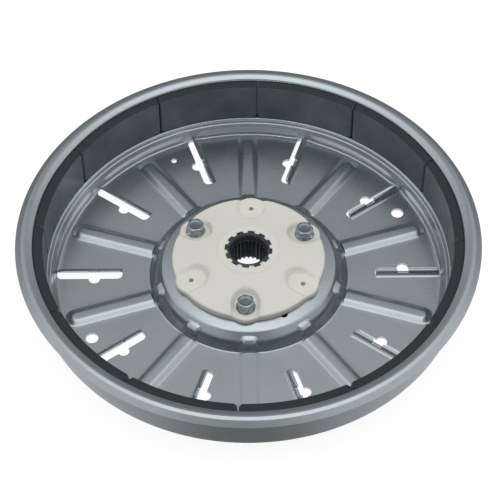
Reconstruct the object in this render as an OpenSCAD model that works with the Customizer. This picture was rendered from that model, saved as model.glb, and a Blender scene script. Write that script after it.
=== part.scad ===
// Outer rotor of a direct-drive washing machine motor.
// The origin is on the shaft axis in the plane that the floor rests on, and +Z points out of the open side.

/* [Bowl] */
// Outer diameter of the rolled lip
lip_d = 299; // [290:1:310]
// Height from the underside of the floor to the top of the lip
bowl_h = 45; // [42:0.2:47]
// Thickness of the steel sheet
sheet = 1.8; // [1.6:0.1:2]
// Inner diameter of the rim wall
rim_bore_d = 276.4; // [274:0.2:278]
// Depth of the lip's turned-down edge
lip_drop = 4; // [3:0.1:4.4]
// Height of the magnet seat above the underside of the floor
seat_z = 12.2; // [11:0.2:13]

/* [Boss] */
// Height of the boss's flat top
boss_z = 14.6; // [13:0.2:15]
// Diameter of the boss where it meets the floor
boss_foot_d = 130.8; // [128:0.2:132]
// Diameter at which the boss's flat top and its side would meet
boss_top_d = 115.4; // [114:0.2:117]
// Diameter of the hole in the boss
boss_hole_d = 51; // [50:0.5:53]

/* [Ribs and slots] */
// Number of ribs, and of slots between them
rib_count = 10; // [8:1:12]
// Width of a rib
rib_w = 11; // [9:0.5:13]
// Height of a rib above the floor
rib_h = 2.5; // [2:0.1:3]
// Distance from the axis to the outer end of a rib
rib_end_r = 124; // [120:1:126]
// Distance from the axis to the inner end of a slot
slot_r0 = 83.3; // [80:0.5:86]
// Distance from the axis to the outer end of a slot
slot_r1 = 126.5; // [122:0.5:127]
// Angle that a slot's louvre is bent up by
louvre_angle = 90; // [75:1:90]
// Length of a louvre's straight leg
louvre_leg = 3.4; // [3:0.2:5]

/* [Magnets] */
// Number of magnets
magnet_count = 12; // [10:1:14]
// Inner diameter of the ring of magnets
magnet_bore_d = 264.8; // [262:0.2:266]
// Gap between neighbouring magnets
magnet_gap = 0.9; // [0.6:0.1:1.2]
// Thickness of the adhesive film behind a magnet
film = 0.2; // [0.1:0.1:0.3]

/* [Hub] */
// Diameter of the hub between its lobes
hub_d = 100; // [98:0.5:102]
// Diameter of the circle through the bolts and pads
bolt_circle_d = 83; // [81:0.5:85]
// Height of the hub's middle above the underside of the floor
hub_top_z = 26.6; // [26:0.1:27]
// Height of the bolt seats and pads
pad_z = 19.4; // [19:0.1:20]
// Angle of the first pad, which sets the hub's turn on the bowl
hub_turn = 87.2; // [80:0.1:95]
// Diameter of the flat middle of the hub
hub_middle_d = 40; // [38:0.5:42]

/* [Bush] */
// Outer diameter over the bush's keys
bush_d = 31; // [30:0.2:32]
// Height of the bush's lower face
bush_z0 = 4.4; // [4:0.2:6]
// Height of the bush's upper face
bush_z1 = 27; // [26.8:0.1:28]
// Diameter of the plain entry of the bore
entry_d = 23.8; // [23.4:0.2:24]
// Depth of the plain entry
entry_depth = 5.6; // [4:0.2:7]
// Number of spline teeth
spline_teeth = 24; // [20:1:28]
// Diameter at the roots of the spline
spline_root_d = 23; // [22.6:0.2:23.2]
// Diameter at the tips of the spline teeth
spline_tip_d = 21; // [20.6:0.2:21.6]

/* [Hidden] */
$fn = 96;
eps = 0.05;

lip_r = lip_d / 2;
rim_bore_r = rim_bore_d / 2;
rib_pitch = 360 / rib_count;
first_rib = rib_pitch / 2;

// Inner face of the sheet as [radius, height, corner radius], from the boss hole out to the lip's edge.
bowl_path = [
    [boss_hole_d / 2, boss_z, 0],
    [boss_top_d / 2, boss_z, 5],
    [boss_foot_d / 2, sheet + 0.5, 1],
    [boss_foot_d / 2 + 4.4, sheet + 0.5, 1.2],
    [boss_foot_d / 2 + 6, sheet, 1.2],
    [123.8, sheet, 3],
    [128.7, sheet + 2.9, 1],
    [131, seat_z, 2],
    [rim_bore_r, seat_z, 1.5],
    [rim_bore_r, bowl_h, 2.2],
    [lip_r, bowl_h, 3],
    [lip_r, bowl_h - lip_drop, 0]
];

// Louvre section, across the slot: the hinge, the bend radius and the far side of the opening.
slot_hinge = -4.5;
slot_edge = 3.9;
louvre_bend_r = 1.5;
louvre_end_gap = 1.5;
pilot_r = 3.75;
pilot_at = [101.7, slot_edge];

// Round holes in the floor as [angle, radius of the hole].
floor_holes = [[27, 4.15], [207.5, 4.15], [117, 2], [297, 2]];
floor_hole_at = 113.5;
boss_vent = [297, 49, 2.6];

// Gussets pressed into the foot of the boss at each rib.
gusset_at = [60.6, 7.4];
gusset_r = 4.6;
gusset_proud = 2.2;

magnet_r0 = magnet_bore_d / 2;
magnet_r1 = rim_bore_r - film;
magnet_h = 30.2;
magnet_pitch = 360 / magnet_count;
magnet_turn = 87.1;
magnet_corner = 2.2;

bolt_r = 3;
bolt_clear_r = 3.3;
bolt_turn = hub_turn + 60;
flange_r = 6.3;
flange_h = 1.6;
hex_af = 10;
hex_h = 6;
nut_h = 5;
nut_af = 10;
lobe_r = 10.6;
lobe_lift = 0.4;
pad_w = 16.5;
pad_r0 = 31.5;
pad_hole_r = 1.9;
neck_r = 24.9;
key_count = 12;
key_root_r = 13.9;

// Direction of travel from p to q, in degrees.
function heading(p, q) = atan2(q[1] - p[1], q[0] - p[0]);

// Corner i of a path moved sideways by d, to the right of the direction of travel.
function moved(path, i, d) =
    let (n = len(path) - 1,
        a0 = heading(path[max(i - 1, 0)], path[max(i, 1)]),
        a1 = heading(path[min(i, n - 1)], path[min(i + 1, n)]),
        half = (a1 - a0) / 2,
        out = (a0 + a1) / 2 - 90)
    [path[i][0] + d * cos(out) / cos(half), path[i][1] + d * sin(out) / cos(half)];

// Points of the rounded corner i of a path moved by d.
function corner(path, i, d, steps = 4) =
    let (n = len(path) - 1, p = moved(path, i, d))
    i == 0 || i == n ? [p] :
    let (a0 = heading(path[i - 1], path[i]),
        a1 = heading(path[i], path[i + 1]),
        left = a1 > a0,
        r = max(path[i][2] + (left ? d : -d), 0),
        cut = r * tan(abs(a1 - a0) / 2),
        side = left ? 90 : -90,
        start = [p[0] - cut * cos(a0), p[1] - cut * sin(a0)],
        mid = [start[0] + r * cos(a0 + side), start[1] + r * sin(a0 + side)])
    r == 0 ? [p] :
    [for (k = [0:steps]) let (a = a0 + (a1 - a0) * k / steps - side)
        [mid[0] + r * cos(a), mid[1] + r * sin(a)]];

function offset_path(path, d) = [for (i = [0:len(path) - 1]) each corner(path, i, d)];
function backwards(list) = [for (i = [len(list) - 1:-1:0]) list[i]];

// Copies of the children, turned about the axis.
module around(count, first = 0) {
    for (i = [0:count - 1])
        rotate([0, 0, first + i * 360 / count]) children();
}

// Flat bar with round ends from radius r0 to r1, w wide.
module bar(r0, r1, w) {
    translate([r0 + w / 2, -w / 2]) square([r1 - r0 - w, w]);
    translate([r0 + w / 2, 0]) circle(d = w, $fn = 32);
    translate([r1 - w / 2, 0]) circle(d = w, $fn = 32);
}

module slot_cut() {
    w = slot_edge - slot_hinge;
    translate([0, (slot_edge + slot_hinge) / 2, -eps])
        linear_extrude(seat_z) bar(slot_r0, slot_r1, w);
    translate([pilot_at[0], pilot_at[1], -eps])
        cylinder(r = pilot_r, h = sheet + 2 * eps, $fn = 32);
}

// Section of a louvre: x runs from the hinge over the slot, y up from the underside of the floor.
module louvre_section() {
    r0 = louvre_bend_r;
    r1 = louvre_bend_r + sheet;
    translate([0, r1]) {
        difference() {
            circle(r = r1, $fn = 48);
            circle(r = r0, $fn = 48);
            translate([-2 * r1, -2 * r1]) square([2 * r1, 4 * r1]);
            rotate(louvre_angle) translate([0, -2 * r1]) square([4 * r1, 4 * r1]);
        }
        rotate(louvre_angle) translate([-eps, -r1]) square([louvre_leg + eps, sheet]);
    }
    translate([-0.3, 0]) square([0.3 + eps, sheet]);
}

module louvre() {
    length = slot_r1 - slot_r0 - 2 * louvre_end_gap - 2;
    mid = sheet / 2 - louvre_bend_r - sheet;
    edge_u = slot_hinge + louvre_leg * cos(louvre_angle) - mid * sin(louvre_angle);
    edge_z = louvre_bend_r + sheet + louvre_leg * sin(louvre_angle) + mid * cos(louvre_angle);
    difference() {
        translate([slot_r0 + louvre_end_gap, slot_hinge, 0])
            rotate([90, 0, 90]) linear_extrude(length) louvre_section();
        translate([pilot_at[0], edge_u, edge_z]) rotate([louvre_angle, 0, 0])
            cylinder(r = pilot_r, h = 3 * sheet, center = true, $fn = 48);
    }
}

module gusset() {
    lean = atan2(boss_foot_d / 2 - boss_top_d / 2, boss_z - sheet);
    translate([gusset_at[0], 0, gusset_at[1]]) rotate([0, 90 - lean, 0])
        cylinder(r1 = gusset_r, r2 = gusset_r - 1, h = gusset_proud, $fn = 32);
}

module rotor_frame() {
    color("silver") difference() {
        union() {
            difference() {
                union() {
                    rotate_extrude($fn = 180)
                        polygon(concat(offset_path(bowl_path, 0), backwards(offset_path(bowl_path, sheet))));
                    around(rib_count, first_rib) {
                        translate([0, 0, sheet - eps])
                            linear_extrude(rib_h + eps) bar(boss_foot_d / 2 - 1, rib_end_r, rib_w);
                        gusset();
                    }
                }
                around(rib_count, first_rib)
                    translate([0, 0, -eps]) linear_extrude(rib_h + eps)
                        bar(boss_foot_d / 2 + 4, rib_end_r - sheet, rib_w - 2 * sheet);
                around(rib_count) slot_cut();
                rotate([0, 0, boss_vent[0]]) translate([boss_vent[1], 0, 0])
                    cylinder(r = boss_vent[2], h = boss_z + 1, $fn = 32);
            }
            around(rib_count) louvre();
        }
        for (hole = floor_holes)
            rotate([0, 0, hole[0]]) translate([floor_hole_at, 0, -1])
                cylinder(r = hole[1], h = sheet + 2, $fn = 48);
        around(3, bolt_turn)
            translate([bolt_circle_d / 2, 0, boss_z - sheet - 1])
                cylinder(r = bolt_clear_r, h = sheet + 2, $fn = 48);
    }
}

// One arc magnet centred on the +X direction, with its two inner upright edges cut off.
module magnet(i) {
    color("dimgray")
    rotate([0, 0, magnet_turn + (i - 0.5) * magnet_pitch]) translate([0, 0, seat_z])
        difference() {
            cylinder(r = magnet_r1, h = magnet_h, $fn = 180);
            translate([0, 0, -1]) cylinder(r = magnet_r0, h = magnet_h + 2, $fn = 180);
            for (s = [-1, 1]) {
                rotate([0, 0, s * magnet_pitch / 2])
                    translate([-2 * lip_r, s > 0 ? -magnet_gap / 2 : -2 * lip_r + magnet_gap / 2, -1])
                        cube([4 * lip_r, 2 * lip_r, magnet_h + 2]);
                rotate([0, 0, s * magnet_pitch / 2]) translate([magnet_r0, 0, -1])
                    rotate([0, 0, 45]) cube([magnet_corner * 2, magnet_corner * 2, 4 * magnet_h], center = true);
            }
        }
}

module key_ring(r_root, r_tip, h) {
    cylinder(r = r_root, h = h, $fn = 96);
    intersection() {
        cylinder(r = r_tip, h = h, $fn = 96);
        around(key_count, 82.6) translate([r_root - 1, -2.2, 0]) cube([5, 4.4, h]);
    }
}

module hub_connector() {
    cone_r = hub_middle_d / 2;
    rim_z = pad_z + 0.2;
    color("beige") difference() {
        union() {
            rotate_extrude($fn = 96) polygon([
                [key_root_r - 2, bush_z0], [neck_r, bush_z0], [neck_r, boss_z], [hub_d / 2 - 1, boss_z],
                [hub_d / 2, boss_z + 1], [hub_d / 2, rim_z - 1], [hub_d / 2 - 1, rim_z],
                [cone_r + 0.5, hub_top_z - 0.4], [cone_r, hub_top_z], [key_root_r - 2, hub_top_z]
            ]);
            around(6, hub_turn) translate([bolt_circle_d / 2, 0, boss_z + lobe_lift])
                cylinder(r = lobe_r, h = pad_z + 0.1 - boss_z - lobe_lift, $fn = 64);
        }
        translate([0, 0, pad_z]) around(6, hub_turn) linear_extrude(10) {
            translate([pad_r0 + pad_w / 2, 0]) circle(d = pad_w, $fn = 48);
            translate([pad_r0 + pad_w / 2, -pad_w / 2]) square([30, pad_w]);
        }
        around(3, hub_turn) translate([bolt_circle_d / 2, 0, pad_z - 4])
            cylinder(r = pad_hole_r, h = 5, $fn = 32);
        around(3, bolt_turn) translate([bolt_circle_d / 2, 0, boss_z - 1])
            cylinder(r = bolt_clear_r, h = 12, $fn = 48);
        translate([0, 0, bush_z0 - 1]) key_ring(key_root_r, bush_d / 2, bush_z1 - bush_z0 + 2);
    }
}

// Outline of the splined hole: each tooth is a trapezium between the root and tip circles.
function spline_points(r_root, r_tip) =
    let (pitch = 360 / spline_teeth)
    [for (i = [0:spline_teeth - 1]) each
        [for (p = [[0.02, r_root], [0.4, r_root], [0.6, r_tip], [0.82, r_tip]])
            [p[1] * cos((i + p[0]) * pitch), p[1] * sin((i + p[0]) * pitch)]]];

module spline_bush() {
    h = bush_z1 - bush_z0;
    color("darkslategray") translate([0, 0, bush_z0]) difference() {
        key_ring(key_root_r, bush_d / 2, h);
        translate([0, 0, h - entry_depth]) cylinder(d = entry_d, h = entry_depth + 1, $fn = 96);
        translate([0, 0, -1]) linear_extrude(h)
            polygon(spline_points(spline_root_d / 2, spline_tip_d / 2));
    }
}

module hexagon(af) {
    circle(d = af / cos(30), $fn = 6);
}

module hub_bolt(i) {
    tip_z = boss_z - sheet - nut_h - 1;
    color("lightgray")
    rotate([0, 0, bolt_turn + (i - 1) * 120]) translate([bolt_circle_d / 2, 0, 0]) {
        translate([0, 0, tip_z]) cylinder(r = bolt_r, h = pad_z - tip_z + 1, $fn = 48);
        translate([0, 0, pad_z]) cylinder(r = flange_r, h = flange_h, $fn = 64);
        difference() {
            translate([0, 0, pad_z]) rotate([0, 0, 30]) linear_extrude(hex_h) hexagon(hex_af);
            translate([0, 0, pad_z + hex_h - 1]) cylinder(r = hex_af * 0.36, h = 2, $fn = 48);
        }
    }
}

module weld_nut(i) {
    top_z = boss_z - sheet;
    color("gray")
    rotate([0, 0, bolt_turn + (i - 1) * 120]) translate([bolt_circle_d / 2, 0, top_z - nut_h])
        difference() {
            linear_extrude(nut_h) hexagon(nut_af);
            translate([0, 0, -1]) cylinder(r = bolt_r, h = nut_h + 2, $fn = 48);
        }
}

rotor_frame();
magnet(1);  // magnet_01
magnet(2);  // magnet_02
magnet(3);  // magnet_03
magnet(4);  // magnet_04
magnet(5);  // magnet_05
magnet(6);  // magnet_06
magnet(7);  // magnet_07
magnet(8);  // magnet_08
magnet(9);  // magnet_09
magnet(10);  // magnet_10
magnet(11);  // magnet_11
magnet(12);  // magnet_12
hub_connector();
spline_bush();
hub_bolt(1);  // hub_bolt_1
hub_bolt(2);  // hub_bolt_2
hub_bolt(3);  // hub_bolt_3
weld_nut(1);  // weld_nut_1
weld_nut(2);  // weld_nut_2
weld_nut(3);  // weld_nut_3
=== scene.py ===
"""Looks of a direct-drive motor's outer rotor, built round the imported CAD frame.

Lengths are in mm, apart from the stage, the light and the camera, which are in metres.
"""
import math

import bmesh
import bpy
import numpy as np
from mathutils import Matrix, Vector


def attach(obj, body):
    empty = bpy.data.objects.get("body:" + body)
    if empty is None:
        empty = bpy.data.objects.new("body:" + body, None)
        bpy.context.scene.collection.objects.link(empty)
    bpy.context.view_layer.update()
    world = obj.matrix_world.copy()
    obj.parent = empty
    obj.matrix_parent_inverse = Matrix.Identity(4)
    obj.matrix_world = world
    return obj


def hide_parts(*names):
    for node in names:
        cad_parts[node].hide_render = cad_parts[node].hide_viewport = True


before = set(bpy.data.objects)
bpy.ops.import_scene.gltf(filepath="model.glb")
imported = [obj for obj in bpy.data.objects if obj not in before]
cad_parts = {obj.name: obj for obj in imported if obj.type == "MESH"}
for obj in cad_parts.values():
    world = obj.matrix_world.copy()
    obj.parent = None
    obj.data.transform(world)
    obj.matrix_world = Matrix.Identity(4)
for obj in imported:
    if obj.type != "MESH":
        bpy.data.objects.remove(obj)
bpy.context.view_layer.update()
MM = 0.001
TAU = 2 * math.pi

# The rotor's driving dimensions, with heights above the underside of the floor.
SHEET = 1.8
PLATEAU_Z = 14.6
SEAT_Z = 12.2
RIM_R = 138.2
LIP_R = 149.45
BOLT_CIRCLE_R = 41.5
BOLT_COUNT = 3
VENT_ANGLE, VENT_AT = 297, 49.0
HUB_TURN = 87.2
PIN_ANGLES = [HUB_TURN + 120 * k for k in range(BOLT_COUNT)]
BOLT_ANGLES = [angle + 60 for angle in PIN_ANGLES]


# ---------------------------------------------------------------- meshes

def make_piece(name, verts, faces, material, nodes, sharp):
    """A mesh object from points in mm, riding on the one body and standing for the CAD nodes."""
    finish_piece(plain_object(name, [(verts, faces)]), material, nodes, sharp)


def plain_object(name, parts):
    """One object from several (verts, faces) pairs in mm, with its normals turned outwards."""
    verts, faces, base = [], [], 0
    for part_verts, part_faces in parts:
        verts.append(part_verts)
        faces += [[i + base for i in face] for face in part_faces]
        base += len(part_verts)
    mesh = bpy.data.meshes.new(name)
    mesh.from_pydata((np.concatenate(verts) * MM).tolist(), [], faces)
    outward = bmesh.new()
    outward.from_mesh(mesh)
    bmesh.ops.recalc_face_normals(outward, faces=outward.faces)
    outward.to_mesh(mesh)
    outward.free()
    obj = bpy.data.objects.new(name, mesh)
    bpy.context.scene.collection.objects.link(obj)
    return obj


def finish_piece(obj, material, nodes, sharp):
    """Shades a piece, gives it its material, and ties it to the CAD's body and nodes."""
    shade(obj, sharp)
    obj.data.materials.clear()
    obj.data.materials.append(material)
    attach(obj, "root")
    if nodes:
        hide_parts(*nodes)


def shade(obj, sharp):
    """Smooth shading, with edges sharper than this many degrees kept sharp."""
    obj.data.polygons.foreach_set("use_smooth", [True] * len(obj.data.polygons))
    obj.data.set_sharp_from_angle(angle=math.radians(sharp))


def ring_faces(n_rows, n_cols, closed_rows=False):
    """Quads of a grid of rows of points. Each row closes on itself, and the last row may join the first."""
    idx = np.arange(n_rows * n_cols).reshape(n_rows, n_cols)
    nxt = np.roll(idx, -1, axis=1)
    a, b = idx, np.roll(idx, -1, axis=0)
    c, d = np.roll(nxt, -1, axis=0), nxt
    quads = np.stack([a, b, c, d], axis=-1)
    if not closed_rows:
        quads = quads[:-1]
    return quads.reshape(-1, 4).tolist()


def lathe_rows(radii_z, phis):
    """Rows of points: each row is a (radius or radii, height or heights) pair over the angles."""
    rows = []
    for r, z in radii_z:
        r, z = np.broadcast_to(r, phis.shape), np.broadcast_to(z, phis.shape)
        rows.append(np.stack([r * np.cos(phis), r * np.sin(phis), z], axis=-1))
    return np.array(rows)


def turned(verts, angle_deg, centre_r=0.0):
    """Points moved out along +X by centre_r, then turned about Z."""
    a = math.radians(angle_deg)
    moved = verts + np.array([centre_r, 0, 0])
    rot = np.array([[math.cos(a), math.sin(a), 0], [-math.sin(a), math.cos(a), 0], [0, 0, 1]])
    return moved @ rot


def smooth_step(t):
    """0 to 1 with a level start and end."""
    t = np.clip(t, 0, 1)
    return t * t * (3 - 2 * t)


# ---------------------------------------------------------------- materials

class Nodes:
    """Short names for building one material's nodes."""

    def __init__(self, name):
        self.material = bpy.data.materials.new(name)
        self.material.use_nodes = True
        self.tree = self.material.node_tree
        self.tree.nodes.clear()
        self.out = self.add("ShaderNodeOutputMaterial")
        self.shader = self.add("ShaderNodeBsdfPrincipled")
        self.link(self.shader.outputs["BSDF"], self.out.inputs["Surface"])
        self.coords = self.add("ShaderNodeTexCoord").outputs["Object"]

    def add(self, kind, **values):
        node = self.tree.nodes.new(kind)
        for key, value in values.items():
            setattr(node, key, value)
        return node

    def link(self, a, b):
        self.tree.links.new(a, b)

    def scaled(self, x, y, z):
        """The object's coordinates, stretched."""
        node = self.add("ShaderNodeMapping")
        node.inputs["Scale"].default_value = (x, y, z)
        self.link(self.coords, node.inputs["Vector"])
        return node.outputs["Vector"]

    def noise(self, scale, detail=4.0, rough=0.55, vector=None):
        node = self.add("ShaderNodeTexNoise")
        node.inputs["Scale"].default_value = scale
        node.inputs["Detail"].default_value = detail
        node.inputs["Roughness"].default_value = rough
        self.link(vector or self.coords, node.inputs["Vector"])
        return node.outputs["Fac"]

    def cells(self, scale):
        """A random colour for each crystal-like cell."""
        node = self.add("ShaderNodeTexVoronoi")
        node.inputs["Scale"].default_value = scale
        self.link(self.coords, node.inputs["Vector"])
        return node.outputs["Color"]

    def grade(self, fac, stops):
        """Colours or greys along a factor: stops are (place, colour)."""
        node = self.add("ShaderNodeValToRGB")
        ramp = node.color_ramp
        while len(ramp.elements) < len(stops):
            ramp.elements.new(0.5)
        for element, (place, value) in zip(ramp.elements, stops):
            element.position = place
            rgb = value if isinstance(value, tuple) else (value,) * 3
            element.color = (*rgb, 1)
        self.link(fac, node.inputs["Fac"])
        return node.outputs["Color"]

    def mix(self, a, b, fac, mode="MIX"):
        """Two colours mixed: a and b are sockets or colours, fac is a socket or a number."""
        node = self.add("ShaderNodeMix", data_type="RGBA", blend_type=mode)
        if isinstance(fac, float):
            node.inputs["Factor"].default_value = fac
        else:
            self.link(fac, node.inputs["Factor"])
        for socket, value in ((node.inputs[6], a), (node.inputs[7], b)):
            if isinstance(value, tuple):
                socket.default_value = (*value, 1)
            else:
                self.link(value, socket)
        return node.outputs[2]

    def bump(self, heights):
        """Chained bumps: (height socket, distance in metres, strength)."""
        normal = None
        for height, distance, strength in heights:
            node = self.add("ShaderNodeBump")
            node.inputs["Distance"].default_value = distance
            node.inputs["Strength"].default_value = strength
            self.link(height, node.inputs["Height"])
            if normal is not None:
                self.link(normal, node.inputs["Normal"])
            normal = node.outputs["Normal"]
        self.link(normal, self.shader.inputs["Normal"])

    def set(self, **values):
        """Sets the shader's inputs: a socket is linked, a number or a colour goes on the input itself."""
        names = {"color": "Base Color", "metal": "Metallic", "rough": "Roughness",
                 "spec": "Specular IOR Level"}
        for key, value in values.items():
            socket = self.shader.inputs[names[key]]
            if isinstance(value, bpy.types.NodeSocket):
                self.link(value, socket)
            else:
                socket.default_value = (*value, 1) if isinstance(value, tuple) else value


def steel_material():
    """Galvanised sheet: a faint crystal pattern, faint upright drawing marks and uneven gloss."""
    m = Nodes("galvanised_steel")
    cloud = m.noise(9.0, 3.0, 0.5)
    spangle = m.cells(260.0)
    streaks = m.noise(1.0, 2.0, 0.5, m.scaled(420, 420, 7))
    base = m.grade(cloud, [(0.3, (0.390, 0.436, 0.466)), (0.7, (0.435, 0.485, 0.516))])
    spangled = m.mix(base, m.grade(spangle, [(0.0, 0.40), (1.0, 0.62)]), 0.05, "OVERLAY")
    drawn = m.mix(spangled, m.grade(streaks, [(0.25, 0.42), (0.75, 0.58)]), 0.12, "OVERLAY")
    m.set(color=drawn, metal=0.94,
          rough=m.grade(m.noise(40.0, 5.0, 0.6), [(0.25, 0.25), (0.75, 0.32)]))
    m.bump([(m.noise(24.0, 2.0, 0.5), 0.0006, 0.06)])
    return m.material


def ferrite_material():
    """Ground inner faces with clouded grey and upright strokes; faces that point upwards, by their world
    normal, are nearly black.
    """
    m = Nodes("ferrite")
    cloud = m.noise(26.0, 3.0, 0.55)
    strokes = m.noise(1.0, 2.0, 0.5, m.scaled(900, 900, 14))
    base = m.grade(cloud, [(0.32, (0.078, 0.098, 0.110)), (0.68, (0.140, 0.171, 0.188))])
    worn = m.mix(base, (0.15, 0.17, 0.18), m.grade(strokes, [(0.60, 0.0), (0.8, 0.22)]))
    split = m.add("ShaderNodeSeparateXYZ")
    m.link(m.add("ShaderNodeNewGeometry").outputs["Normal"], split.inputs[0])
    # Faces that point upwards, by their world normal, get a near-black colour, a rougher finish and a higher
    # specular level.
    facing_up = m.grade(split.outputs["Z"], [(0.35, 0.0), (0.75, 1.0)])
    m.set(color=m.mix(worn, (0.024, 0.033, 0.039), facing_up), metal=0.0, spec=m.mix((0.18,) * 3, (0.30,) * 3, facing_up),
          rough=m.mix(m.grade(m.noise(55.0, 4.0, 0.6), [(0.3, 0.24), (0.7, 0.42)]), (0.55, 0.55, 0.55), facing_up))
    m.bump([(m.noise(16.0, 2.0, 0.5), 0.0012, 0.15), (m.noise(1400.0, 2.0, 0.5), 0.00003, 0.12)])
    return m.material


def resin_material():
    """Cream moulding resin with faint clouds and fine darker flecks."""
    m = Nodes("hub_resin")
    cloud = m.noise(22.0, 3.0, 0.5)
    specks = m.noise(700.0, 2.0, 0.6)
    base = m.grade(cloud, [(0.3, (0.825, 0.820, 0.742)), (0.7, (0.860, 0.855, 0.775))])
    flecked = m.mix(base, (0.62, 0.59, 0.51), m.grade(specks, [(0.60, 0.0), (0.80, 0.35)]))
    m.set(color=flecked, metal=0.0, spec=0.45,
          rough=m.grade(m.noise(90.0, 3.0, 0.6), [(0.3, 0.46), (0.7, 0.58)]))
    m.bump([(m.noise(30.0, 2.0, 0.5), 0.0006, 0.08), (specks, 0.00003, 0.14)])
    return m.material


def bush_material():
    """Dark, dull sintered steel with fine pits."""
    m = Nodes("bush_steel")
    pits = m.noise(1600.0, 3.0, 0.7)
    base = m.grade(m.noise(120.0, 4.0, 0.6), [(0.3, (0.045, 0.053, 0.060)), (0.7, (0.085, 0.095, 0.105))])
    m.set(color=base, metal=0.75, rough=m.grade(pits, [(0.3, 0.42), (0.7, 0.60)]))
    m.bump([(pits, 0.00004, 0.3)])
    return m.material


def zinc_material():
    """Bright bluish zinc plating."""
    m = Nodes("zinc_plated_steel")
    base = m.grade(m.noise(120.0, 2.0, 0.5), [(0.3, (0.26, 0.30, 0.345)), (0.7, (0.33, 0.38, 0.43))])
    m.set(color=base, metal=1.0, rough=m.grade(m.noise(90.0, 2.0, 0.5), [(0.3, 0.12), (0.7, 0.19)]))
    m.bump([(m.noise(60.0, 2.0, 0.5), 0.0002, 0.05)])
    return m.material


def nut_material():
    """Plain steel with a dull, fine grain."""
    m = Nodes("weld_nut_steel")
    base = m.grade(m.noise(300.0, 4.0, 0.6), [(0.3, (0.30, 0.30, 0.30)), (0.7, (0.42, 0.42, 0.42))])
    m.set(color=base, metal=0.95, rough=m.grade(m.noise(600.0, 3.0, 0.6), [(0.3, 0.32), (0.7, 0.48)]))
    m.bump([(m.noise(1100.0, 3.0, 0.6), 0.00004, 0.2)])
    return m.material


def vent_shade_material():
    """Matt near-black, painted shade for the dark hollow seen through the vent."""
    m = Nodes("vent_painted_shade_black")
    m.set(color=m.grade(m.noise(400.0, 3.0, 0.6), [(0.3, 0.006), (0.7, 0.014)]), metal=0.0, spec=0.2,
          rough=m.grade(m.noise(900.0), [(0.3, 0.65), (0.7, 0.85)]))
    m.bump([(m.noise(1500.0, 2.0, 0.5), 0.00003, 0.2)])
    return m.material


STEEL, FERRITE, RESIN = steel_material(), ferrite_material(), resin_material()
BUSH, ZINC, NUT, VENT_SHADE = bush_material(), zinc_material(), nut_material(), vent_shade_material()


# ---------------------------------------------------------------- bowl

# The sheet's inner face, from the boss's hole out to the lip: radius, height, corner radius and the step
# between the rows of points after the corner. The outer face's corner radius is the inner one more or less
# the sheet's thickness, unless a fifth number gives it.
BOSS_HOLE_R, BOSS_FOOT_R, FLOOR_EDGE_R = 25.5, 65.3, 126.7
STEP_FOOT_Z = 2.05
BOWL_PATH = [
    (BOSS_HOLE_R, PLATEAU_Z, 0, 3.5),
    (48.2, PLATEAU_Z, 2.5, 0.8),
    (56.7, 12.7, 3.5, 0.6),
    (61.3, 8.4, 12.0, 0.5),
    (BOSS_FOOT_R, SHEET + 0.05, 1.0, 0.7),
    (71.0, SHEET, 2.0, 1.2),
    (78.0, SHEET, 0, 4.0),
    (112.0, SHEET, 0, 0.9),
    (123.6, SHEET, 8.0, 0.8),
    (FLOOR_EDGE_R, STEP_FOOT_Z, 1.0, 0.6),
    (129.5, 9.0, 0.5, 0.6),
    (130.3, 9.35, 0.5, 0.4),
    (131.1, SEAT_Z, 2.4, 1.8),
    (RIM_R, SEAT_Z - 0.1, 0.6, 6.0, 2.2),
    (RIM_R, 43.85, 1.6, 0.6),
    (139.6, 44.1, 1.5, 0.5),
    (142.0, 44.8, 1.5, 0.5),
    (143.4, 44.95, 1.5, 0.5),
    (145.6, 44.5, 0.8, 0.5),
    (LIP_R, 42.2, 0, 1.0),
]
RIB_COUNT = 10
RIB_PITCH = 360 // RIB_COUNT
FIRST_RIB = RIB_PITCH // 2
SLOT_ANGLES = [RIB_PITCH * k for k in range(RIB_COUNT)]

# A rib's flat half width and height, the bend at its shoulder and its flank's slope in degrees.
RIB_END, RIB_H, RIB_BEND, RIB_FLAT, RIB_SLOPE = 124.0, 1.85, 4.2, 2.1, 26.0
SLOT_R0, SLOT_R1, SLOT_HINGE, SLOT_EDGE = 83.4, 126.5, -4.5, 3.9
PILOT_R, PILOT_AT = 3.75, 101.7

# The tab bent up beside each slot: bend radius, height, sideways lean per mm of height, and edge rounding.
TAB_BEND, TAB_TOP, TAB_LEAN, TAB_EDGE = 1.5, 5.0, 0.60, 0.75
TAB_CORNER = 1.7

# Round holes in the floor as (angle, radius of the hole), all at one distance from the axis.
FLOOR_HOLES = ((27, 4.15), (207.5, 4.15), (117, 2.0), (297, 2.0))
FLOOR_HOLE_AT = 113.5
VENT_R = 2.7
BOWL_BOLT_HOLE_R = 3.3


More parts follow.
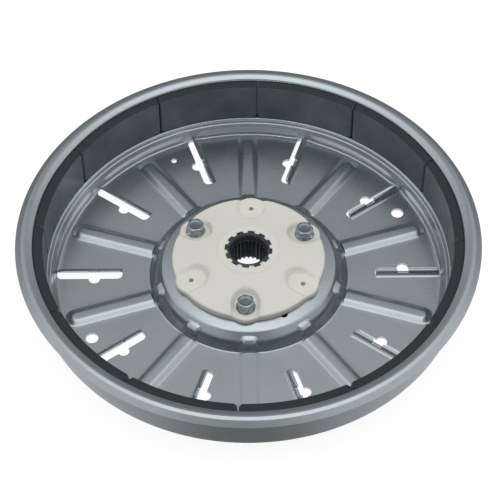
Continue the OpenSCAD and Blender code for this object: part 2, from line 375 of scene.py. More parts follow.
def path_rows(path, shift, arc_step=14.0):
    """The path moved sideways by shift, as points and the angles of their normals.

    Any shift gives the same number of points, so that the two faces of the sheet match.
    """
    points, normals = [], []
    n = len(path)
    seg = [math.atan2(path[i + 1][1] - path[i][1], path[i + 1][0] - path[i][0]) for i in range(n - 1)]
    ends = []
    for i in range(n):
        a0, a1 = seg[max(i - 1, 0)], seg[min(i, n - 2)]
        half, out = (a1 - a0) / 2, (a0 + a1) / 2 - math.pi / 2
        reach = shift / math.cos(half)
        p = np.array([path[i][0] + reach * math.cos(out), path[i][1] + reach * math.sin(out)])
        rho = path[i][2]
        if rho == 0 or abs(a1 - a0) < 1e-6:
            ends.append(([p], [out + math.pi]))
            continue
        left = a1 > a0
        r = max(rho + (shift if left else -shift), 0.02)
        if shift and len(path[i]) > 4:
            r = path[i][4]
        cut = r * math.tan(abs(a1 - a0) / 2)
        side = math.pi / 2 if left else -math.pi / 2
        start = p - cut * np.array([math.cos(a0), math.sin(a0)])
        mid = start + r * np.array([math.cos(a0 + side), math.sin(a0 + side)])
        steps = max(2, round(abs(math.degrees(a1 - a0)) / arc_step))
        arc, nor = [], []
        for k in range(steps + 1):
            a = a0 + (a1 - a0) * k / steps
            arc.append(mid + r * np.array([math.cos(a - side), math.sin(a - side)]))
            nor.append(a + math.pi / 2)
        ends.append((arc, nor))
    for i in range(n):
        arc, nor = ends[i]
        points += arc
        normals += nor
        if i < n - 1:
            first, last = arc[-1], ends[i + 1][0][0]
            length = math.dist(path[i][:2], path[i + 1][:2])
            count = max(1, round(length / path[i][3]))
            for k in range(1, count):
                points.append(first + (last - first) * k / count)
                normals.append(seg[i] + math.pi / 2)
    return np.array(points), np.array(normals)


def bowl_angles(radii):
    """Angles of the grid's columns at each radius, parallel to the ribs and slots beside them."""
    slot_u = [0, 1.3, 2.6, 3.9, 5.2]
    rib_u = [0, 1.2, 2.3, 3.0, 3.7, 4.4, 5.0, 5.5, 5.9, 6.25, 6.5, 6.72, 6.95, 7.5]
    between = 6
    r = np.clip(radii, 70.0, 126.0)
    cols = []
    for start in SLOT_ANGLES:
        slot, rib, after = (math.radians(start + turn) for turn in (0, FIRST_RIB, RIB_PITCH))
        near = [slot + np.arcsin(u / r) for u in slot_u]
        rise = [rib - np.arcsin(u / r) for u in rib_u[::-1]]
        fall = [rib + np.arcsin(u / r) for u in rib_u[1:]]
        away = [after - np.arcsin(u / r) for u in slot_u[:0:-1]]
        cols += near
        cols += [near[-1] + (rise[0] - near[-1]) * t / (between + 1) for t in range(1, between + 1)]
        cols += rise + fall
        cols += [fall[-1] + (away[0] - fall[-1]) * t / (between + 1) for t in range(1, between + 1)]
        cols += away
    return np.stack(cols, axis=-1)


def from_rib(phi):
    """Degrees from the nearest rib."""
    return (np.degrees(phi) - FIRST_RIB + RIB_PITCH / 2) % RIB_PITCH - RIB_PITCH / 2


def rib_depth(r, nz, u, along):
    """Height of the ribs over the floor: a rounded top, straight flanks and a round outer end."""
    slope = math.radians(RIB_SLOPE)
    foot = RIB_FLAT + RIB_BEND * math.tan(slope / 2) + RIB_H / math.tan(slope)
    beyond = np.maximum(along - (RIB_END - foot), 0)
    d = np.maximum(np.hypot(u, beyond) - RIB_FLAT, 0)
    turn = RIB_BEND * math.sin(slope)
    curve = RIB_BEND - np.sqrt(RIB_BEND ** 2 - np.minimum(d, turn) ** 2)
    drop = curve + np.maximum(d - turn, 0) * math.tan(slope)
    rib = (RIB_H - drop + np.sqrt((RIB_H - drop) ** 2 + 0.02)) / 2
    rib = np.where(d < foot - RIB_FLAT + 1.2, rib, 0)
    return np.where((r > BOSS_FOOT_R) & (nz > 0.5), rib * smooth_step((r - BOSS_FOOT_R) / 1.3), 0)


def gusset_depth(r, z, u):
    """Depth of the gussets pressed out of the boss's slope, one in line with each rib."""
    # s runs from 0 at the top of the slope to 1 at its foot. The gusset is the lower of a shelf that rises
    # out of the slope and a steeper face, with a rounded crest between them.
    s = (PLATEAU_Z - z) / (PLATEAU_Z - 2.3)
    shelf = 11.0 * (s - 0.28 - 0.09 * np.minimum(np.abs(u) / 5.5, 1.3) ** 4)
    face = 0.9 + 3.6 * (1 - s)
    blend = 1.8
    crest = (shelf + face - np.sqrt((shelf - face) ** 2 + blend ** 2)) / 2 + 0.05
    across = 1 - smooth_step((np.abs(u) - 3.3) / 3.0)
    fade = 1 - smooth_step((r - 64.6) / 2.0)
    return np.where((r < 67) & (r > 54), np.maximum(crest, 0) * across * fade, 0)


def press_depth(r, z, nz, phi):
    """How far ribs and gussets stand proud of the plain bowl, along its own normal."""
    delta = np.radians(from_rib(phi))
    u, along = r * np.sin(delta), r * np.cos(delta)
    return rib_depth(r, nz, u, along) + gusset_depth(r, z, u)


def bead_depth(s, phi):
    """A rounded arc bead on the crease under the magnet seat, between each pair of slots."""
    half_angle, end_angle, half_width, height = 14.6, 1.2, 2.7, 1.15
    t = np.clip((half_angle - np.abs(from_rib(phi))) / end_angle, 0, 1)
    c = np.clip(1 - (s / half_width) ** 2, 0, 1)
    return height * np.sqrt(t * (2 - t)) * c ** 1.2


def bowl_mesh():
    """The pressed sheet without its holes: inner face, outer face and the two edges between them."""
    inner, normals = path_rows(BOWL_PATH, 0)
    outer, _ = path_rows(BOWL_PATH, SHEET)
    assert len(inner) == len(outer)
    phi = bowl_angles(inner[:, 0])
    r, z = inner[:, :1], inner[:, 1:]
    nr, nz = np.cos(normals)[:, None], np.sin(normals)[:, None]
    depth = press_depth(r, z, nz, phi)
    lengths = np.concatenate([[0], np.cumsum(np.hypot(*np.diff(inner, axis=0).T))])
    crease = lengths[np.argmin(np.hypot(inner[:, 0] - FLOOR_EDGE_R, inner[:, 1] - STEP_FOOT_Z))] + 1.5
    on_step = (r > FLOOR_EDGE_R - 0.7) & (r < 132) & (z < SEAT_Z - 0.7)
    depth = depth + np.where(on_step, bead_depth(lengths[:, None] - crease, phi), 0)
    faces = []
    for side in (inner, outer):
        radius, height = side[:, :1] + nr * depth, side[:, 1:] + nz * depth
        faces.append(np.stack([radius * np.cos(phi), radius * np.sin(phi), height], axis=-1))
    rows = np.concatenate([faces[0], faces[1][::-1]])
    return rows.reshape(-1, 3), ring_faces(len(rows), rows.shape[1], closed_rows=True)


def prism(outline, z0, z1):
    """Verts and faces of an upright prism."""
    n = len(outline)
    low = np.column_stack([outline, np.full(n, z0)])
    high = np.column_stack([outline, np.full(n, z1)])
    faces = [list(range(n))[::-1], list(range(n, 2 * n))]
    faces += [[i, (i + 1) % n, n + (i + 1) % n, n + i] for i in range(n)]
    return np.concatenate([low, high]), faces


def rounded_rect(x0, x1, y0, y1, radii, steps=8):
    """Outline with its own radius at each corner: low-low, high-low, high-high, low-high."""
    corners = [(x0, y0, 1, 1, 180), (x1, y0, -1, 1, 270), (x1, y1, -1, -1, 0), (x0, y1, 1, -1, 90)]
    pts = []
    for (x, y, sx, sy, a0), r in zip(corners, radii):
        for k in range(steps + 1):
            a = math.radians(a0 + 90 * k / steps)
            pts.append((x + sx * r + r * math.cos(a), y + sy * r + r * math.sin(a)))
    return np.array(pts)


def circle_points(x, y, r, n=40):
    a = np.arange(n) * TAU / n
    return np.column_stack([x + r * np.cos(a), y + r * np.sin(a)])


def tab_mesh():
    """The tab bent up from a slot, with rounded free corners and the pilot hole's half-round notch."""
    x0, x1, corner = SLOT_R0 + 0.3, SLOT_R1 - 0.5, TAB_CORNER
    xs = [x0 + corner * (1 - math.cos(a)) for a in np.linspace(0, math.pi / 2, 7)]
    xs += list(np.linspace(x0 + corner, PILOT_AT - PILOT_R, 8))[1:]
    xs += [PILOT_AT - PILOT_R * math.cos(a) for a in np.linspace(0, math.pi, 17)][1:]
    xs += list(np.linspace(PILOT_AT + PILOT_R, x1 - corner, 10))[1:]
    xs += [x1 - corner * (1 - math.cos(a)) for a in np.linspace(math.pi / 2, 0, 7)][1:]
    xs = np.array(xs)
    crown = np.full(len(xs), TAB_TOP)
    for i, x in enumerate(xs):
        e = min(x - x0, x1 - x)
        if e < corner:
            crown[i] = TAB_TOP - corner + math.sqrt(max(corner ** 2 - (corner - e) ** 2, 0))
        if abs(x - PILOT_AT) < PILOT_R - 1e-9:
            crown[i] = TAB_TOP - math.sqrt(PILOT_R ** 2 - (x - PILOT_AT) ** 2)
    bend_z = SHEET + TAB_BEND
    crown = np.maximum(crown, bend_z + 0.08)
    rows = []

    def row(u, z):
        rows.append(np.column_stack([xs, np.full(len(xs), u), np.broadcast_to(z, xs.shape)]))

    def edge_row(u, sign, a):
        """A row of the rounded top edge, at angle a degrees round it from the face at u."""
        a = math.radians(a)
        top = np.maximum(crown - TAB_EDGE * (1 - math.sin(a)), bend_z + 0.02)
        row(u + sign * TAB_EDGE * (1 - math.cos(a)), top)

    row(SLOT_HINGE - 0.5, SHEET)
    for a in np.linspace(0, math.pi / 2, 7):
        row(SLOT_HINGE + TAB_BEND * math.sin(a), bend_z - TAB_BEND * math.cos(a))
    inner_u, outer_u = SLOT_HINGE + TAB_BEND, SLOT_HINGE + TAB_BEND + SHEET
    for a in (0, 30, 60, 85):
        edge_row(inner_u, 1, a)
    for a in (85, 60, 30, 0):
        edge_row(outer_u, -1, a)
    for a in np.linspace(math.pi / 2, 0, 7):
        row(SLOT_HINGE + (TAB_BEND + SHEET) * math.sin(a), bend_z - (TAB_BEND + SHEET) * math.cos(a))
    row(SLOT_HINGE - 0.5, 0.0)
    rows = np.array(rows)
    rows[:, :, 1] += TAB_LEAN * np.maximum(rows[:, :, 2] - SHEET, 0)
    n, m = rows.shape[:2]
    idx = np.arange(n * m).reshape(n, m)
    faces = []
    for i in range(n):
        k = (i + 1) % n
        for j in range(m - 1):
            faces.append([idx[i, j], idx[k, j], idx[k, j + 1], idx[i, j + 1]])
    faces += [list(idx[:, 0]), list(idx[::-1, -1])]
    return rows.reshape(-1, 3), [[int(v) for v in f] for f in faces]


def combine(target, tools):
    """Boolean operations on target, applied: (operation, tool object)."""
    for operation, tool in tools:
        mod = target.modifiers.new("cut", "BOOLEAN")
        mod.operation, mod.object, mod.solver = operation, tool, "MANIFOLD"
    depsgraph = bpy.context.evaluated_depsgraph_get()
    mesh = bpy.data.meshes.new_from_object(target.evaluated_get(depsgraph))
    target.modifiers.clear()
    old = target.data
    target.data = mesh
    bpy.data.meshes.remove(old)
    for _, tool in tools:
        data = tool.data
        bpy.data.objects.remove(tool)
        bpy.data.meshes.remove(data)


def turned_prism(outline, z0, z1, angle):
    """Verts and faces of an upright prism turned about the axis."""
    verts, faces = prism(outline, z0, z1)
    return turned(verts, angle), faces


def build_bowl():
    """The bowl with its slots, holes and tabs, cut and joined by booleans."""
    bowl = plain_object("rotor_bowl", [bowl_mesh()])
    slot_line = rounded_rect(SLOT_R0, SLOT_R1, SLOT_HINGE, SLOT_EDGE, (2.7, 2.7, 3.3, 3.3))
    pilot_line = circle_points(PILOT_AT, SLOT_EDGE, PILOT_R)
    cuts = [turned_prism(line, -3, 11, a) for a in SLOT_ANGLES for line in (slot_line, pilot_line)]
    cuts += [turned_prism(circle_points(FLOOR_HOLE_AT, 0, hole), -3, 6, a) for a, hole in FLOOR_HOLES]
    cuts.append(turned_prism(circle_points(VENT_AT, 0, VENT_R, 32), 5, 20, VENT_ANGLE))
    bolt_line = circle_points(BOLT_CIRCLE_R, 0, BOWL_BOLT_HOLE_R, 32)
    cuts += [turned_prism(bolt_line, 5, 20, a) for a in BOLT_ANGLES]
    tools = [("DIFFERENCE", plain_object(f"cutter_{i}", [cut])) for i, cut in enumerate(cuts)]
    tab_verts, tab_faces = tab_mesh()
    tabs = plain_object("tabs", [(turned(tab_verts, a), tab_faces) for a in SLOT_ANGLES])
    combine(bowl, tools + [("UNION", tabs)])
    finish_piece(bowl, STEEL, ["rotor_frame"], 38.0)


# ---------------------------------------------------------------- magnets

MAGNET_R0, MAGNET_R1, MAGNET_H, MAGNET_GAP = 131.9, 138.0, 30.2, 0.9
MAGNET_COUNT = 12
MAGNET_PITCH = 360 / MAGNET_COUNT
MAGNET_TURN = 87.1


def spaced(a, b, edges):
    """Places from a to b, at the given distances in from each end."""
    ends = [e for e in edges if e < (b - a) / 2]
    return np.array([a + e for e in ends] + [b - e for e in ends[::-1]])


def magnet_mesh():
    """An arc magnet on +X with rounded corners in elevation and chamfered front edges."""
    mid_r = (MAGNET_R0 + MAGNET_R1) / 2
    half = mid_r * math.radians(MAGNET_PITCH / 2) - MAGNET_GAP / 2
    fine = [0, 0.12, 0.35, 0.7, 1.1, 1.6, 2.1, 2.7, 3.4, 4.5, 6.5, 9.5, 13]
    across = spaced(-half, half, fine + [18, 23, 28, 33])
    up = spaced(0, MAGNET_H, [0, 0.12, 0.35, 0.7, 1.1, 1.6, 2.2, 3.0, 4.0, 6.0, 9.0, 13.0])
    S, Z = np.meshgrid(across, up)
    corner = 4.2
    qx, qz = np.abs(S) - (half - corner), np.abs(Z - MAGNET_H / 2) - (MAGNET_H / 2 - corner)
    sd = np.hypot(np.maximum(qx, 0), np.maximum(qz, 0)) + np.minimum(np.maximum(qx, qz), 0) - corner
    side_width, side_depth, end_width, end_depth = 1.6, 1.5, 1.0, 0.9
    side = np.clip((half - np.abs(S)) / side_width, 0, 1)
    end = np.clip((MAGNET_H / 2 - np.abs(Z - MAGNET_H / 2)) / end_width, 0, 1)
    round_side = side_depth * (1 - np.sqrt(1 - (1 - side) ** 2))
    round_end = end_depth * (1 - np.sqrt(1 - (1 - end) ** 2))
    notch_depth = 2.6
    notch = notch_depth * np.clip(sd / 1.2 + 0.05, 0, 1)
    back = np.maximum(np.maximum(round_side, round_end), notch)
    r = np.minimum(MAGNET_R0 + back, MAGNET_R1 - 1.5)
    theta = S / mid_r
    front = np.stack([r * np.cos(theta), r * np.sin(theta), Z + SEAT_Z], axis=-1)
    rear = np.stack([MAGNET_R1 * np.cos(theta), MAGNET_R1 * np.sin(theta), Z + SEAT_Z], axis=-1)
    n, m = S.shape
    verts = np.concatenate([front.reshape(-1, 3), rear.reshape(-1, 3)])
    a = np.arange(n * m).reshape(n, m)
    b = a + n * m
    faces = []
    for i in range(n - 1):
        for j in range(m - 1):
            faces.append([a[i, j], a[i + 1, j], a[i + 1, j + 1], a[i, j + 1]])
            faces.append([b[i, j], b[i, j + 1], b[i + 1, j + 1], b[i + 1, j]])
    for i in range(n - 1):
        faces.append([a[i, 0], b[i, 0], b[i + 1, 0], a[i + 1, 0]])
        faces.append([a[i, -1], a[i + 1, -1], b[i + 1, -1], b[i, -1]])
    for j in range(m - 1):
        faces.append([a[0, j], a[0, j + 1], b[0, j + 1], b[0, j]])
        faces.append([a[-1, j], b[-1, j], b[-1, j + 1], a[-1, j + 1]])
    return verts, [[int(v) for v in f] for f in faces]


def build_magnets():
    """The ring of magnets, the first one half a pitch past the turn."""
    verts, faces = magnet_mesh()
    for i in range(MAGNET_COUNT):
        name = f"magnet_{i + 1:02d}"
        angle = MAGNET_TURN + MAGNET_PITCH * (i + 0.5)
        make_piece(name + "_body", turned(verts, angle), faces, FERRITE, [name], 40.0)


# ---------------------------------------------------------------- hub

HUB_R, LOBE_AT, LOBE_R = 50.0, 41.5, 10.5
HUB_RIM_Z, HUB_TOP_Z, HUB_MIDDLE_R = 19.6, 26.5, 20.0
PAD_Z, PAD_HALF, PAD_R0 = 18.8, 8.0, 31.2
PIN_AT, PIN_R, HUB_BOLT_HOLE_R = 41.7, 1.65, 3.4
HUB_BORE_R, HUB_NECK_R, HUB_FOOT_Z = 13.2, 24.9, 4.5
HUB_EDGE_ROUND = 1.4


def from_lobe(phi):
    """Radians from the middle of the nearest lobe."""
    return np.radians((np.degrees(phi) - HUB_TURN + 30) % 60 - 30)


def hub_edge(phi):
    """Radius of the hub's outline: a circle with six lobes, blended."""
    delta = from_lobe(phi)
    inside = LOBE_R ** 2 - (LOBE_AT * np.sin(delta)) ** 2
    lobe = np.where(inside > 0, LOBE_AT * np.cos(delta) + np.sqrt(np.maximum(inside, 0)), 0)
    gap = lobe - HUB_R
    k = 1.1
    return HUB_R + np.where(gap > k, gap, np.where(gap > -k, (gap + k) ** 2 / (4 * k), 0))


def hub_height(r, phi):
    """Height of the hub's top: a shallow cone, a flat middle, and six flat recesses open to the outside."""
    inward = np.clip((49.5 - r) / (49.5 - HUB_MIDDLE_R), 0, 1.2)
    cone = HUB_RIM_Z + (HUB_TOP_Z - 0.35 - HUB_RIM_Z) * inward ** 1.2
    step = smooth_step((HUB_MIDDLE_R + 0.35 - r) / 0.7)
    z = cone * (1 - step) + HUB_TOP_Z * step
    delta = from_lobe(phi)
    u, along = r * np.sin(delta), r * np.cos(delta)
    centre = PAD_R0 + PAD_HALF
    back = np.maximum(centre - along, 0)
    d = np.hypot(u, back) - PAD_HALF
    t = np.clip((d + 0.9) / 2.9, 0, 1)
    wall = 0.6 * smooth_step(t) + 0.4 * t
    pad = PAD_Z - 0.15 + 0.2 * np.maximum(37.0 - along, 0)
    return np.where(z > pad, pad + (z - pad) * wall, z)


def build_hub():
    """The resin moulding: its lobed body turned from rows of points, then its holes cut by booleans."""
    n = 720
    phis = np.arange(n) * TAU / n
    edge = hub_edge(phis)
    shoulder = edge - HUB_EDGE_ROUND
    radii = list(np.linspace(HUB_BORE_R, 19.4, 6)) + list(np.linspace(19.6, 20.4, 5))
    radii += [21.0, 23, 25, 27, 29, 30.2]
    radii += list(np.arange(30.8, 36.5, 0.45)) + list(np.arange(37.0, 48.0, 0.9))
    rows = [(r, hub_height(r, phis)) for r in radii]
    last = radii[-1]
    for t in np.linspace(0.12, 1, 9):
        r = last + (shoulder - last) * t
        rows.append((r, hub_height(r, phis)))
    rim = hub_height(shoulder, phis)
    for a in np.radians(np.linspace(18, 90, 5)):
        rows.append((shoulder + HUB_EDGE_ROUND * math.sin(a), rim - HUB_EDGE_ROUND * (1 - math.cos(a))))
    rows += [
        (edge, PLATEAU_Z + 0.3), (edge - 0.1, PLATEAU_Z + 0.1), (edge - 0.3, PLATEAU_Z), (48.2, PLATEAU_Z),
        (38.0, PLATEAU_Z), (25.6, PLATEAU_Z), (HUB_NECK_R, PLATEAU_Z - 0.5), (HUB_NECK_R, HUB_FOOT_Z + 0.7),
        (HUB_NECK_R - 0.7, HUB_FOOT_Z), (HUB_BORE_R, HUB_FOOT_Z)
    ]
    verts = lathe_rows(rows, phis)
    hub = plain_object("hub_moulding", [(verts.reshape(-1, 3), ring_faces(len(rows), n, closed_rows=True))])
    pin_line = circle_points(PIN_AT, 0, PIN_R, 32)
    bolt_line = circle_points(BOLT_CIRCLE_R, 0, HUB_BOLT_HOLE_R, 32)
    tools = []
    for k in range(BOLT_COUNT):
        pin = turned_prism(pin_line, PAD_Z - 5, PAD_Z + 3, PIN_ANGLES[k])
        hole = turned_prism(bolt_line, 10, PAD_Z + 3, BOLT_ANGLES[k])
        tools.append(("DIFFERENCE", plain_object(f"pin_{k}", [pin])))
        tools.append(("DIFFERENCE", plain_object(f"hole_{k}", [hole])))
    combine(hub, tools)
    finish_piece(hub, RESIN, ["hub_connector"], 40.0)


# ---------------------------------------------------------------- bush

BUSH_Z0, BUSH_Z1, ENTRY_DEPTH, ENTRY_R = 4.4, 26.95, 5.6, 11.9
KEYS, KEY_TURN, KEY_TIP_HALF, KEY_ROOT_HALF = 12, 82.6, 8.0, 9.3
TEETH, TOOTH_TIP_HALF, TOOTH_ROOT_HALF = 24, 2.1, 4.4
KEY_PITCH, TOOTH_PITCH = 360 / KEYS, 360 / TEETH


def key_radius(deg):
    """Outer radius of the bush at an angle in degrees, with narrow flanks between key and root."""
    d = np.abs((deg - KEY_TURN + KEY_PITCH / 2) % KEY_PITCH - KEY_PITCH / 2)
    return 13.9 + 1.6 * np.clip((KEY_ROOT_HALF - d) / (KEY_ROOT_HALF - KEY_TIP_HALF), 0, 1)


def spline_radius(deg):
    """Radius of the splined bore at an angle in degrees: tooth tips, roots and the flanks between."""
    d = np.abs((deg + TOOTH_PITCH / 2) % TOOTH_PITCH - TOOTH_PITCH / 2)
    return 10.5 + 1.0 * np.clip((d - TOOTH_TIP_HALF) / (TOOTH_ROOT_HALF - TOOTH_TIP_HALF), 0, 1)


def bush_angles():
    """Degrees of the bush's columns: an even ring, with one more at every corner of a key or tooth."""
    marks = set(np.arange(0, 360, 1.5).round(3).tolist())
    keys = [(KEY_TURN + KEY_PITCH * k, (KEY_TIP_HALF, KEY_ROOT_HALF)) for k in range(KEYS)]
    teeth = [(TOOTH_PITCH * k, (TOOTH_TIP_HALF, TOOTH_ROOT_HALF)) for k in range(TEETH)]
    for middle, halves in keys + teeth:
        marks |= {round((middle + side * half) % 360, 3) for half in halves for side in (-1, 1)}
    deg = np.array(sorted(marks))
    return deg[np.concatenate([[True], np.diff(deg) > 0.12])]


def build_bush():
    """The bush from rows of points: keys outside, then over its top and down the entry and the spline."""
    deg = bush_angles()
    outer, teeth = key_radius(deg), spline_radius(deg)
    ledge = BUSH_Z1 - ENTRY_DEPTH
    rows = [
        (outer - 0.45, BUSH_Z0), (outer, BUSH_Z0 + 0.45), (outer, BUSH_Z1 - 0.25),
        (outer - 0.08, BUSH_Z1 - 0.08), (outer - 0.25, BUSH_Z1),
        (12.9, BUSH_Z1), (12.75, BUSH_Z1 - 0.08), (ENTRY_R + 0.08, BUSH_Z1 - 0.85),
        (ENTRY_R, BUSH_Z1 - 1.0), (ENTRY_R, ledge + 0.25), (ENTRY_R - 0.25, ledge),
        (np.minimum(teeth + 0.12, ENTRY_R - 0.3), ledge), (teeth, ledge - 0.2),
        (teeth, BUSH_Z0 + 0.5), (teeth + 0.35, BUSH_Z0)
    ]
    verts = lathe_rows(rows, np.radians(deg))
    make_piece("spline_bush_body", verts.reshape(-1, 3), ring_faces(len(rows), len(deg), closed_rows=True),
               BUSH, ["spline_bush"], 28.0)


# ---------------------------------------------------------------- fasteners

HEX_AF = 10.0
HEX_CHAMFER = math.tan(math.radians(28))
BOLT_HEAD_H, BOLT_TIP_Z = 6.5, 6.8
THREAD_R, THREAD_ROOT_R, THREAD_PITCH, THREAD_TURNS = 3.0, 2.62, 1.0, 11
NUT_H = 5.0


def hex_radius(phis):
    """Radius of a hexagon whose corners are cut back a little."""
    d = (phis + math.pi / 6) % (math.pi / 3) - math.pi / 6
    flat = HEX_AF / 2 / np.cos(d)
    return np.minimum(flat, HEX_AF / 2 / math.cos(math.pi / 6) - 0.035)


def close_ring(verts, faces, row, n, point):
    """Adds a fan from a row of n points to one point."""
    tip = len(verts)
    verts = np.concatenate([verts, [point]])
    faces = faces + [[row * n + i, row * n + (i + 1) % n, tip] for i in range(n)]
    return verts, faces


def bolt_mesh():
    """An M6 flange bolt from its tip up, with rings for its thread and a shallow dish in its head."""
    n = 96
    phis = np.arange(n) * TAU / n
    flats = hex_radius(phis)
    z0, z1 = PAD_Z, PAD_Z + BOLT_HEAD_H
    crown = np.minimum(z1, z1 - (flats - 4.7) * HEX_CHAMFER)
    rows = [(1.9, BOLT_TIP_Z), (THREAD_R - 0.05, BOLT_TIP_Z + 0.9)]
    for k in range(THREAD_TURNS):
        z = BOLT_TIP_Z + 1.2 + k * THREAD_PITCH
        rows += [(THREAD_R, z), (THREAD_ROOT_R, z + 0.25), (THREAD_ROOT_R, z + 0.45), (THREAD_R, z + 0.7)]
    rows += [
        (THREAD_R, z0), (6.05, z0), (6.3, z0 + 0.2), (6.3, z0 + 0.75), (6.1, z0 + 1.05),
        (flats + 0.35, z0 + 1.55), (flats + 0.05, z0 + 1.85), (flats, z0 + 2.2),
        (flats, crown - 0.05), (flats - 0.1, crown + 0.02),
        (4.5, z1), (4.2, z1), (3.95, z1 - 0.12), (3.7, z1 - 0.34), (3.4, z1 - 0.42), (2.0, z1 - 0.45)
    ]
    verts = lathe_rows(rows, phis).reshape(-1, 3)
    faces = ring_faces(len(rows), n)
    verts, faces = close_ring(verts, faces, 0, n, (0, 0, BOLT_TIP_Z))
    return close_ring(verts, faces, len(rows) - 1, n, (0, 0, z1 - 0.45))


def nut_mesh():
    """A hexagon weld nut with a plain bore, its outer corners chamfered on the lower face."""
    n = 96
    phis = np.arange(n) * TAU / n
    flats = hex_radius(phis)
    z1 = PLATEAU_Z - SHEET
    z0 = z1 - NUT_H
    chamfer = (flats - 4.9) * HEX_CHAMFER
    rows = [
        (flats, z1 - 0.05), (flats, z0 + chamfer + 0.02), (4.9, z0),
        (3.6, z0), (3.1, z0 + 0.5), (3.05, z1 - 0.05)
    ]
    verts = lathe_rows(rows, phis).reshape(-1, 3)
    return verts, ring_faces(len(rows), n, closed_rows=True)


def build_fasteners():
    """Three bolts, each stopped at its own angle, and the weld nuts below them."""
    (bolt_verts, bolt_faces), (nut_verts, nut_faces) = bolt_mesh(), nut_mesh()
    for k, spin in enumerate((14.0, 41.0, 2.0)):
        bolt = turned(turned(bolt_verts, spin), BOLT_ANGLES[k], BOLT_CIRCLE_R)
        nut = turned(nut_verts, BOLT_ANGLES[k], BOLT_CIRCLE_R)
        bolt_node, nut_node = f"hub_bolt_{k + 1}", f"weld_nut_{k + 1}"
        make_piece(bolt_node + "_body", bolt, bolt_faces, ZINC, [bolt_node], 24.0)
        make_piece(nut_node + "_body", nut, nut_faces, NUT, [nut_node], 30.0)


def build_vent_shade_disc():
    """A near-black disc set into the vent beside the hub: painted shade standing in for the dark hollow under
    it.
    """
    n = 32
    phis = np.arange(n) * TAU / n
    top_z, foot_z = 13.7, 12.9
    rows = [(0.3, top_z), (1.8, 13.6), (2.4, 13.8), (2.72, 13.8), (2.72, foot_z), (0.3, foot_z)]
    verts = lathe_rows(rows, phis).reshape(-1, 3)
    faces = ring_faces(len(rows), n)
    verts, faces = close_ring(verts, faces, 0, n, (0, 0, top_z))
    verts, faces = close_ring(verts, faces, len(rows) - 1, n, (0, 0, foot_z))
    verts = turned(verts, VENT_ANGLE, VENT_AT)
    # Painted shade: a dark disc where only the shadow under the plateau would be.
    make_piece("vent_painted_shade_disc", verts, faces, VENT_SHADE, (), 30.0)


build_bowl()
build_vent_shade_disc()
build_magnets()
build_hub()
build_bush()
build_fasteners()


# ---------------------------------------------------------------- stage, light and camera

FLOOR_Z = -0.0004

# The light's strength against the angle over the object: 0 in front, 90 overhead, 180 behind.
OVER_STOPS = [
    (-180, 0.08), (-150, 0.15), (-120, 0.50), (-92, 0.30), (-70, 0.12), (-30, 0.10), (-12, 0.34),
    (-5, 0.72), (7, 0.72), (16, 0.24), (40, 0.19), (50, 0.11), (65, 0.12), (71, 0.42), (77, 0.90),
    (106, 0.92), (113, 0.62), (121, 0.42), (125, 0.33), (128.5, 0.205), (133, 0.185), (160, 0.14),
    (180, 0.07)
]
# How much of the side light shows against height: 0 straight down, 0.5 level, 1 straight up.
SIDE_HEIGHT_STOPS = [
    (0.0, 0.5), (0.3, 0.5), (0.47, 0.1), (0.53, 0.1), (0.64, 0.12), (0.76, 0.8), (0.9, 1.0), (1.0, 0.5)
]
SIDE_LIGHT = 0.42
LIGHT = 1.85

def build_stage():
    """A pale floor in three rings, the outer one curving up into a wall and a ceiling.

    Only the ring under the slots is seen in reflections, and no ring casts shadows or lights the part.
    """
    phis = np.arange(96) * TAU / 96
    wall_r, bend = 4.0, 1.2
    wall = [(wall_r - bend * (1 - math.sin(a)), bend * (1 - math.cos(a)))
            for a in np.linspace(0, math.pi / 2, 9)]
    middle_r, slots_r = 0.074, 0.1275
    m = Nodes("floor_paint")
    m.set(color=m.grade(m.noise(3.0), [(0.0, 0.28), (1.0, 0.30)]), metal=0.0, rough=0.9, spec=0.0)
    m.shader.inputs["Emission Color"].default_value = (1, 1, 1, 1)
    m.shader.inputs["Emission Strength"].default_value = 0.86
    rings = {
        "floor_middle": [(0.0005, 0.0), (middle_r, 0.0)],
        "floor_under_slots": [(middle_r, 0.0), (slots_r, 0.0)],
        "floor": [(slots_r, 0.0), (0.5, 0.0), (1.5, 0.0)] + wall
                 + [(wall_r, 3.5), (3.2, 5.0), (1.5, 5.8), (0.02, 6.0)],
    }
    for name, rows in rings.items():
        mesh = bpy.data.meshes.new(name)
        mesh.from_pydata(lathe_rows(rows, phis).reshape(-1, 3).tolist(), [], ring_faces(len(rows), len(phis)))
        piece = bpy.data.objects.new(name, mesh)
        piece.location = (0, 0, FLOOR_Z)
        bpy.context.scene.collection.objects.link(piece)
        shade(piece, 60)
        mesh.materials.append(m.material)
        piece.visible_glossy = name == "floor_under_slots"
        piece.visible_diffuse = piece.visible_shadow = False


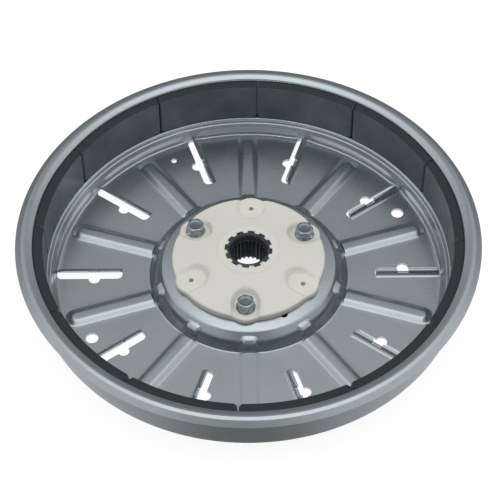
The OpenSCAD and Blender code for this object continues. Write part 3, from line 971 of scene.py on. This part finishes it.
def build_light():
    """A soft studio all round: a wide softbox overhead, a dimmer one at each side and darker gaps between."""
    world = bpy.data.worlds.new("studio")
    world.use_nodes = True
    tree = world.node_tree
    link, new = tree.links.new, tree.nodes.new

    def math_node(operation, *values):
        node = new("ShaderNodeMath")
        node.operation = operation
        for socket, value in zip(node.inputs, values):
            if isinstance(value, float):
                socket.default_value = value
            else:
                link(value, socket)
        return node.outputs[0]

    def ramp(fac, stops):
        node = new("ShaderNodeValToRGB")
        while len(node.color_ramp.elements) < len(stops):
            node.color_ramp.elements.new(0.5)
        for element, (place, value) in zip(node.color_ramp.elements, stops):
            element.position, element.color = place, (value, value, value, 1)
        link(fac, node.inputs["Fac"])
        return node.outputs["Color"]

    way = new("ShaderNodeSeparateXYZ")
    link(new("ShaderNodeTexCoord").outputs["Generated"], way.inputs[0])
    x, y, z = way.outputs
    turn = math_node("ARCTAN2", z, math_node("MULTIPLY", y, -1.0))
    place = math_node("MULTIPLY_ADD", turn, 1 / TAU, 0.5)
    over = ramp(place, [(0.5 + a / 360, v) for a, v in OVER_STOPS])
    aside = ramp(math_node("ABSOLUTE", x), [(0.0, 0.0), (0.2, 0.0), (0.5, 1.0), (1.0, 1.0)])
    height = ramp(math_node("MULTIPLY_ADD", z, 0.5, 0.5), SIDE_HEIGHT_STOPS)
    mix = new("ShaderNodeMix")
    mix.data_type = "RGBA"
    link(math_node("MULTIPLY", aside, height), mix.inputs["Factor"])
    link(over, mix.inputs[6])
    mix.inputs[7].default_value = (SIDE_LIGHT, SIDE_LIGHT, SIDE_LIGHT, 1)
    background = tree.nodes["Background"]
    link(mix.outputs[2], background.inputs["Color"])
    background.inputs["Strength"].default_value = LIGHT
    bpy.context.scene.world = world
    bpy.context.scene.view_settings.view_transform = "Standard"


def build_camera():
    """The camera, looking down into the bowl from the front with a slight roll."""
    elevation, roll = math.radians(50.37), math.radians(-0.42)
    distance = 1.126
    target = Vector((0.00099, -0.00035, 0.02613))
    back = Vector((0, -math.cos(elevation), math.sin(elevation)))
    right, up = Vector((1, 0, 0)), Vector((0, math.sin(elevation), math.cos(elevation)))
    x_axis = right * math.cos(roll) + up * math.sin(roll)
    y_axis = -right * math.sin(roll) + up * math.cos(roll)
    rot = Matrix((x_axis, y_axis, back)).transposed()
    data = bpy.data.cameras.new("camera")
    data.sensor_width = 36
    data.lens = 124.85
    data.clip_start, data.clip_end = 0.05, 50
    cam = bpy.data.objects.new("camera", data)
    cam.matrix_world = Matrix.Translation(target + back * distance) @ rot.to_4x4()
    bpy.context.scene.collection.objects.link(cam)
    bpy.context.scene.camera = cam


build_stage()
build_light()
build_camera()
